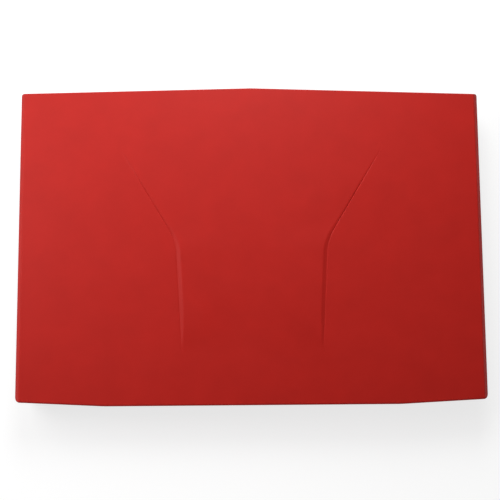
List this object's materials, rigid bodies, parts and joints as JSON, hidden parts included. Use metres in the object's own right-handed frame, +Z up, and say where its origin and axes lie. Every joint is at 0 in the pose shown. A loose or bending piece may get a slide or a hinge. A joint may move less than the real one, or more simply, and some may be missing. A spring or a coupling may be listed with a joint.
{
  "type": "clamshell laptop computer",
  "caption": "Closed large-screen clamshell laptop with a satin red lid: raised centre hood between two angled creases, bevelled side edges, friction hinges, full keyboard inside.",
  "frame": {"origin": "on the surface it stands on, under the middle of the closed machine", "axes": "+X to the user's right, -Y towards the user, +Y towards the hinge, +Z up"},
  "size_m": [0.41, 0.282, 0.04],
  "materials": {
    "lid_lacquer": "satin red coat",
    "bezel_plastic": "fine matte texture",
    "screen_glass": "gloss",
    "panel_metal": "satin",
    "circuit_board": "satin",
    "hinge_steel": "satin",
    "rubber": "matte",
    "case_plastic": "fine matte texture",
    "deck_plastic": "soft-touch matte",
    "grille_steel": "satin",
    "socket_steel": "satin",
    "plate_aluminium": "satin",
    "key_plastic": "matte",
    "button_metal": "satin",
    "inner_plastic": "matte",
    "battery_wrap": "matte",
    "copper": "satin"
  },
  "bodies": {
    "base": {"motherboard": "circuit_board", "memory_module": "circuit_board", "wifi_card": "circuit_board", "hinge_bracket_left": "hinge_steel", "hinge_bracket_right": "hinge_steel", "foot_front_left": "rubber", "foot_front_right": "rubber", "foot_rear_left": "rubber", "foot_rear_right": "rubber", "bottom_case": "case_plastic", "access_cover": "case_plastic", "socket_panel_left": "case_plastic", "socket_panel_right": "case_plastic", "palm_rest": "deck_plastic", "touchpad": "deck_plastic", "speaker_grille_left": "grille_steel", "speaker_grille_right": "grille_steel", "power_jack": "socket_steel", "ethernet_port": "socket_steel", "hdmi_port": "socket_steel", "usb_port_left": "socket_steel", "usb_port_right": "socket_steel", "audio_jack": "socket_steel", "keyboard_plate": "plate_aluminium", "hard_drive": "plate_aluminium", "fin_stack_left": "plate_aluminium", "fin_stack_right": "plate_aluminium", "speaker_left": "inner_plastic", "speaker_right": "inner_plastic", "fan_housing_left": "inner_plastic", "fan_housing_right": "inner_plastic", "battery_pack": "battery_wrap", "heat_pipe": "copper"},
    "lid": {"lid_cover": "lid_lacquer", "display_bezel": "bezel_plastic", "display_glass": "screen_glass", "lcd_panel": "panel_metal", "webcam_module": "circuit_board", "webcam_lens": "screen_glass", "hinge_arm_left": "hinge_steel", "hinge_pin_left": "hinge_steel", "lid_bumper_left": "rubber", "hinge_arm_right": "hinge_steel", "hinge_pin_right": "hinge_steel", "lid_bumper_right": "rubber"},
    "fan_left": {"fan_rotor_left": "inner_plastic"},
    "fan_right": {"fan_rotor_right": "inner_plastic"},
    "power_button": {"power_button": "button_metal"},
    "touchpad_button_left": {"touchpad_button_left": "key_plastic"},
    "touchpad_button_right": {"touchpad_button_right": "key_plastic"},
    "function_keys": {"function_keys": "key_plastic"},
    "number_keys": {"number_keys": "key_plastic"},
    "upper_letter_keys": {"upper_letter_keys": "key_plastic"},
    "home_letter_keys": {"home_letter_keys": "key_plastic"},
    "lower_letter_keys": {"lower_letter_keys": "key_plastic"},
    "modifier_keys_left": {"modifier_keys_left": "key_plastic"},
    "modifier_keys_right": {"modifier_keys_right": "key_plastic"},
    "space_bar": {"space_bar": "key_plastic"},
    "arrow_keys": {"arrow_keys": "key_plastic"},
    "number_pad_keys": {"number_pad_keys": "key_plastic"}
  },
  "joints": [
    {"name": "lid_hinge", "type": "hinge", "parent": "base", "child": "lid", "pos_m": [0, 0.134, 0.0335], "axis": [-1, 0, 0], "range_deg": [0, 125]},
    {"name": "fan_spin_left", "type": "hinge", "parent": "base", "child": "fan_left", "pos_m": [-0.13, 0.066, 0], "axis": [0, 0, 1], "continuous": true},
    {"name": "fan_spin_right", "type": "hinge", "parent": "base", "child": "fan_right", "pos_m": [0.13, 0.066, 0], "axis": [0, 0, 1], "continuous": true},
    {"name": "power_button_press", "type": "slide", "parent": "base", "child": "power_button", "axis": [0, 0, -1], "range_m": [0, 0.001], "stiffness_N_per_m": 400, "springref_m": -0.002},
    {"name": "touchpad_left_press", "type": "slide", "parent": "base", "child": "touchpad_button_left", "axis": [0, 0, -1], "range_m": [0, 0.0008], "stiffness_N_per_m": 400, "springref_m": -0.002},
    {"name": "touchpad_right_press", "type": "slide", "parent": "base", "child": "touchpad_button_right", "axis": [0, 0, -1], "range_m": [0, 0.0008], "stiffness_N_per_m": 400, "springref_m": -0.002},
    {"name": "function_keys_press", "type": "slide", "parent": "base", "child": "function_keys", "axis": [0, 0, -1], "range_m": [0, 0.002], "stiffness_N_per_m": 400, "springref_m": -0.002},
    {"name": "number_keys_press", "type": "slide", "parent": "base", "child": "number_keys", "axis": [0, 0, -1], "range_m": [0, 0.002], "stiffness_N_per_m": 400, "springref_m": -0.002},
    {"name": "upper_letter_keys_press", "type": "slide", "parent": "base", "child": "upper_letter_keys", "axis": [0, 0, -1], "range_m": [0, 0.002], "stiffness_N_per_m": 400, "springref_m": -0.002},
    {"name": "home_letter_keys_press", "type": "slide", "parent": "base", "child": "home_letter_keys", "axis": [0, 0, -1], "range_m": [0, 0.002], "stiffness_N_per_m": 400, "springref_m": -0.002},
    {"name": "lower_letter_keys_press", "type": "slide", "parent": "base", "child": "lower_letter_keys", "axis": [0, 0, -1], "range_m": [0, 0.002], "stiffness_N_per_m": 400, "springref_m": -0.002},
    {"name": "modifier_keys_left_press", "type": "slide", "parent": "base", "child": "modifier_keys_left", "axis": [0, 0, -1], "range_m": [0, 0.002], "stiffness_N_per_m": 400, "springref_m": -0.002},
    {"name": "modifier_keys_right_press", "type": "slide", "parent": "base", "child": "modifier_keys_right", "axis": [0, 0, -1], "range_m": [0, 0.002], "stiffness_N_per_m": 400, "springref_m": -0.002},
    {"name": "space_bar_press", "type": "slide", "parent": "base", "child": "space_bar", "axis": [0, 0, -1], "range_m": [0, 0.002], "stiffness_N_per_m": 400, "springref_m": -0.002},
    {"name": "arrow_keys_press", "type": "slide", "parent": "base", "child": "arrow_keys", "axis": [0, 0, -1], "range_m": [0, 0.002], "stiffness_N_per_m": 400, "springref_m": -0.002},
    {"name": "number_pad_keys_press", "type": "slide", "parent": "base", "child": "number_pad_keys", "axis": [0, 0, -1], "range_m": [0, 0.002], "stiffness_N_per_m": 400, "springref_m": -0.002}
  ]
}
